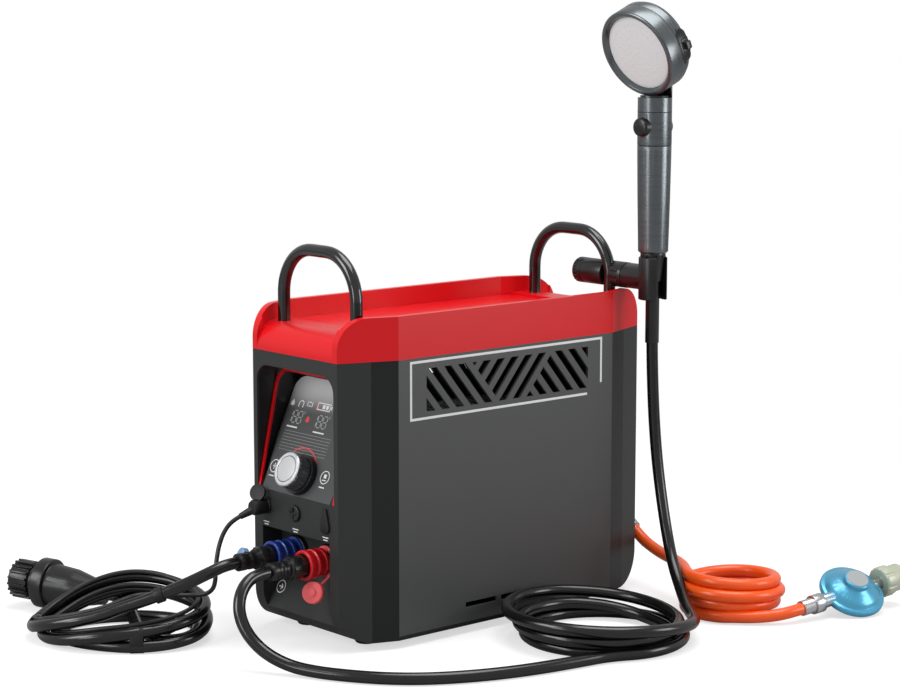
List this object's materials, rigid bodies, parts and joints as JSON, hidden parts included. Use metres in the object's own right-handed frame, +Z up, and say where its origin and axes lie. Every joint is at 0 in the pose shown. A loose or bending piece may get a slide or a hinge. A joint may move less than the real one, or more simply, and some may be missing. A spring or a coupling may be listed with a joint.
{
  "type": "portable propane water heater",
  "caption": "Portable tankless gas water heater with tilted control panel, tube handles, hand shower on a clamp holder, submersible pump, hoses and gas regulator.",
  "frame": {"origin": "centre of the case's footprint, on the ground under its rubber feet", "axes": "+Z up, -Y towards the control end, +X to the right as seen from the control end"},
  "size_m": [0.6074, 0.7387, 0.6026],
  "materials": {
    "red_gloss": "satin gloss",
    "charcoal_paint": "matt",
    "black_paint": "satin",
    "black_plastic": "fine texture",
    "window_glass": "clear",
    "handle_black": "gloss",
    "rubber_black": "matt",
    "cap_silver": "satin",
    "blue_gloss": "gloss",
    "coupling_red": "gloss",
    "cap_rubber": "matt",
    "steel": "satin",
    "brass": "satin",
    "gunmetal": "satin metallic",
    "spray_white": "matt",
    "hose_black": "satin",
    "hose_orange": "satin",
    "regulator_blue": "metallic",
    "zinc": "satin",
    "aluminium": "mill",
    "board_green": "satin",
    "battery_wrap": "matt"
  },
  "bodies": {
    "housing": {"base_pan": "charcoal_paint", "battery_pack": "battery_wrap", "burner": "steel", "cable_clips": "rubber_black", "case_screws": "steel", "clamp_body": "black_plastic", "combustion_chamber": "aluminium", "control_board": "board_green", "control_panel": "black_plastic", "dc_plug": "rubber_black", "dc_socket": "black_plastic", "display_window": "window_glass", "dust_caps": "cap_rubber", "front_handle": "handle_black", "front_shell": "black_plastic", "gas_coil": "hose_orange", "gas_hose": "hose_orange", "gas_hose_fittings": "steel", "gas_inlet": "brass", "gas_valve": "aluminium", "heat_exchanger": "aluminium", "hose_plugs": "black_plastic", "inlet_coil": "hose_black", "inlet_hose": "hose_black", "panel_trim": "red_gloss", "port_fittings": "black_plastic", "power_cable": "rubber_black", "pump_body": "black_plastic", "rear_handle": "handle_black", "rear_shell": "black_plastic", "recess_liner": "black_plastic", "regulator_body": "regulator_blue", "rubber_feet": "rubber_black", "shower_coil": "hose_black", "shower_hose": "hose_black", "shower_riser": "hose_black", "side_frame_left": "black_paint", "side_frame_right": "black_paint", "side_panel_left": "charcoal_paint", "side_panel_right": "charcoal_paint", "top_cover": "red_gloss", "water_pipes": "brass"},
    "knob": {"control_knob": "black_plastic"},
    "knob_cap": {"knob_cap": "cap_silver"},
    "fuse_cap": {"fuse_cap": "black_plastic"},
    "charge_flap": {"charge_flap": "rubber_black"},
    "inlet_sleeve": {"inlet_sleeve": "blue_gloss"},
    "outlet_sleeve": {"outlet_sleeve": "coupling_red"},
    "clamp_screw": {"clamp_screw": "steel"},
    "clamp_knob": {"clamp_knob": "black_plastic"},
    "holder": {"holder_cradle": "black_plastic"},
    "handset": {"cone_nut": "black_plastic", "shower_grip": "gunmetal", "head_shell": "gunmetal", "head_bezel": "gunmetal", "spray_plate": "spray_white"},
    "stop_button": {"stop_button": "black_plastic"},
    "mode_lever": {"mode_lever": "black_plastic"},
    "pump_strainer": {"pump_strainer": "black_plastic"},
    "handwheel": {"regulator_handwheel": "zinc"}
  },
  "joints": [
    {"name": "knob_turn", "type": "hinge", "parent": "housing", "child": "knob", "pos_m": [0, -0.18549, 0.15934], "axis": [0, -0.9018, 0.4321], "range_deg": [-140, 140]},
    {"name": "cap_press", "type": "slide", "parent": "knob", "child": "knob_cap", "axis": [0, 0.9018, -0.4321], "range_m": [0, 0.0012], "stiffness_N_per_m": 400, "springref_m": -0.001},
    {"name": "fuse_turn", "type": "hinge", "parent": "housing", "child": "fuse_cap", "pos_m": [0, -0.195, 0.1245], "axis": [0, -1, 0], "range_deg": [0, 90]},
    {"name": "flap_swing", "type": "hinge", "parent": "housing", "child": "charge_flap", "pos_m": [0.0465, -0.19505, 0.1365], "axis": [-1, 0, 0], "range_deg": [0, 90]},
    {"name": "inlet_release", "type": "slide", "parent": "housing", "child": "inlet_sleeve", "axis": [0, 1, 0], "range_m": [0, 0.0035], "stiffness_N_per_m": 600, "springref_m": -0.004},
    {"name": "outlet_release", "type": "slide", "parent": "housing", "child": "outlet_sleeve", "axis": [0, 1, 0], "range_m": [0, 0.0035], "stiffness_N_per_m": 600, "springref_m": -0.004},
    {"name": "clamp_slide", "type": "slide", "parent": "housing", "child": "clamp_screw", "axis": [-1, 0, 0], "range_m": [0, 0.0045]},
    {"name": "clamp_turn", "type": "hinge", "parent": "clamp_screw", "child": "clamp_knob", "pos_m": [0.0135, 0.169, 0.3295], "axis": [-1, 0, 0], "range_deg": [0, 1080]},
    {"name": "holder_tilt", "type": "hinge", "parent": "housing", "child": "holder", "pos_m": [0.0773, 0.169, 0.3295], "axis": [1, 0, 0], "range_deg": [-45, 45], "deforming": ["shower_riser"]},
    {"name": "handset_lift", "type": "slide", "parent": "holder", "child": "handset", "axis": [0, 0, 1], "range_m": [0, 0.05]},
    {"name": "stop_press", "type": "slide", "parent": "handset", "child": "stop_button", "axis": [0, 1, 0], "range_m": [0, 0.0044]},
    {"name": "mode_swing", "type": "hinge", "parent": "handset", "child": "mode_lever", "pos_m": [0.1115, 0.1707, 0.5643], "axis": [0, -0.9135, -0.4067], "range_deg": [-14, 14]},
    {"name": "handwheel_turn", "type": "hinge", "parent": "housing", "child": "handwheel", "pos_m": [0.2825, 0.33733, 0.0261], "axis": [0.12, 0.9867, 0.11], "continuous": true},
    {"name": "strainer_twist", "type": "hinge", "parent": "housing", "child": "pump_strainer", "pos_m": [-0.27696, -0.31645, 0.02677], "axis": [-0.902, -0.4273, 0.0617], "range_deg": [0, 45]}
  ],
  "couplings": [
    {"joint": "clamp_turn", "follows": "clamp_slide", "rad_per_m": 4188}
  ]
}
